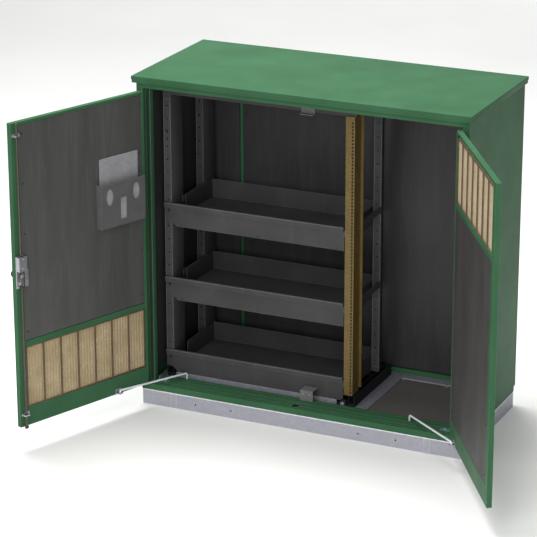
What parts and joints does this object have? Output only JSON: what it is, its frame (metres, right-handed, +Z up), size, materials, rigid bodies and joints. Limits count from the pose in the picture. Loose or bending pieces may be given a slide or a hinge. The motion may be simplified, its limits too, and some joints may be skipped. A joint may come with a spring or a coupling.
{
  "type": "roadside equipment cabinet",
  "caption": "Green roadside equipment cabinet on a galvanised plinth, with two lined front doors held open by wire stays, a shelf rack and a cable bay.",
  "frame": {"origin": "on the ground at the centre of the plinth's four anchor holes", "axes": "+Z up along the anchor holes, front of the cabinet towards -Y, +X to the right as seen from the front"},
  "size_m": [1.745, 1.138, 1.24],
  "materials": {
    "green_paint": "semi-gloss powder coat, weathered",
    "plinth_zinc": "dull hot-dip galvanised",
    "frame_zinc": "galvanised sheet",
    "floor_sheet": "dusty grey-brown primer",
    "dark_steel": "satin black paint",
    "grey_liner": "satin dark grey coated sheet bonded over insulation batting",
    "seal_rubber": "matt foam strip",
    "bracket_grey": "light grey satin",
    "hinge_blue": "pale blue-grey passivated",
    "rack_paint": "mid grey satin powder coat",
    "yellow_zinc": "yellow-passivated zinc",
    "filter_media": "pleated beige filter fleece",
    "rib_plastic": "brown moulded ribs",
    "pocket_grey": "grey moulded pocket",
    "card": "plain light sheet in a sleeve",
    "bright_zinc": "bright zinc plating",
    "rod_steel": "dark oiled steel rod",
    "stay_wire": "bright drawn wire"
  },
  "bodies": {
    "cabinet": {"plinth": "plinth_zinc", "anchor_washers": "frame_zinc", "floor_frame": "frame_zinc", "gland_plate": "floor_sheet", "rack_floor_plate": "dark_steel", "front_sill": "green_paint", "rear_sill": "green_paint", "left_wall": "green_paint", "right_wall": "green_paint", "left_jamb": "green_paint", "right_jamb": "green_paint", "header": "green_paint", "rear_frame": "green_paint", "rear_panel": "green_paint", "rear_panel_liner": "grey_liner", "rear_side_liners": "grey_liner", "left_liner": "grey_liner", "right_liner": "grey_liner", "roof": "green_paint", "ceiling_liner": "grey_liner", "jamb_seals": "seal_rubber", "strike_brackets": "bracket_grey", "sill_hinge_brackets": "hinge_blue", "rack_base": "dark_steel", "rack_front_strip": "frame_zinc", "post_front_left": "rack_paint", "post_rear_left": "rack_paint", "post_rear_right": "rack_paint", "perforated_upright": "yellow_zinc", "upright_brackets": "dark_steel", "rack_side_rails": "rack_paint", "rack_top_frame": "rack_paint", "tray_bottom": "rack_paint", "tray_middle": "rack_paint", "tray_top": "rack_paint", "rack_screws": "frame_zinc", "left_hinge_knuckles": "green_paint", "right_hinge_knuckles": "green_paint"},
    "left_door": {"left_door_shell": "green_paint", "left_door_liner": "grey_liner", "left_door_rail": "green_paint", "left_filter": "filter_media", "left_filter_ribs": "rib_plastic", "document_pocket": "pocket_grey", "diagram_card": "card", "lock_case": "bright_zinc", "rod_guides": "bright_zinc", "left_stay_bracket": "bright_zinc"},
    "right_door": {"right_door_shell": "green_paint", "right_door_liner": "grey_liner", "right_door_rail": "green_paint", "right_filter": "filter_media", "right_filter_ribs": "rib_plastic", "right_stay_bracket": "bright_zinc"},
    "lock": {"lock_pinion": "bright_zinc", "door_handle": "dark_steel"},
    "upper_rod": {"upper_rod": "rod_steel"},
    "lower_rod": {"lower_rod": "rod_steel"},
    "left_stay": {"left_stay": "stay_wire"},
    "right_stay": {"right_stay": "stay_wire"}
  },
  "joints": [
    {"name": "left_door_hinge", "type": "hinge", "parent": "cabinet", "child": "left_door", "pos_m": [-0.603, -0.277, 0.6], "axis": [0, 0, 1], "range_deg": [0, 111]},
    {"name": "right_door_hinge", "type": "hinge", "parent": "cabinet", "child": "right_door", "pos_m": [0.603, -0.277, 0.6], "axis": [0, 0, 1], "range_deg": [-122.5, 0]},
    {"name": "handle_turn", "type": "hinge", "parent": "left_door", "child": "lock", "pos_m": [-0.80762, -0.824, 0.652], "axis": [-0.9336, 0.3584, 0], "range_deg": [0, 90]},
    {"name": "upper_rod_slide", "type": "slide", "parent": "left_door", "child": "upper_rod", "axis": [0, 0, 1], "range_m": [0, 0.0134]},
    {"name": "lower_rod_slide", "type": "slide", "parent": "left_door", "child": "lower_rod", "axis": [0, 0, -1], "range_m": [0, 0.0134]},
    {"name": "left_stay_fold", "type": "hinge", "parent": "left_door", "child": "left_stay", "pos_m": [-0.62609, -0.43202, 0.108], "axis": [0, 0, 1], "range_deg": [-171, 0]},
    {"name": "right_stay_fold", "type": "hinge", "parent": "right_door", "child": "right_stay", "pos_m": [0.62429, -0.3737, 0.108], "axis": [0, 0, 1], "range_deg": [0, 159]}
  ],
  "couplings": [
    {"joint": "upper_rod_slide", "follows": "handle_turn", "m_per_rad": 0.0085},
    {"joint": "lower_rod_slide", "follows": "handle_turn", "m_per_rad": 0.0085},
    {"joint": "left_stay_fold", "follows": "left_door_hinge", "ratio": -1.5405},
    {"joint": "right_stay_fold", "follows": "right_door_hinge", "ratio": -1.2979}
  ]
}
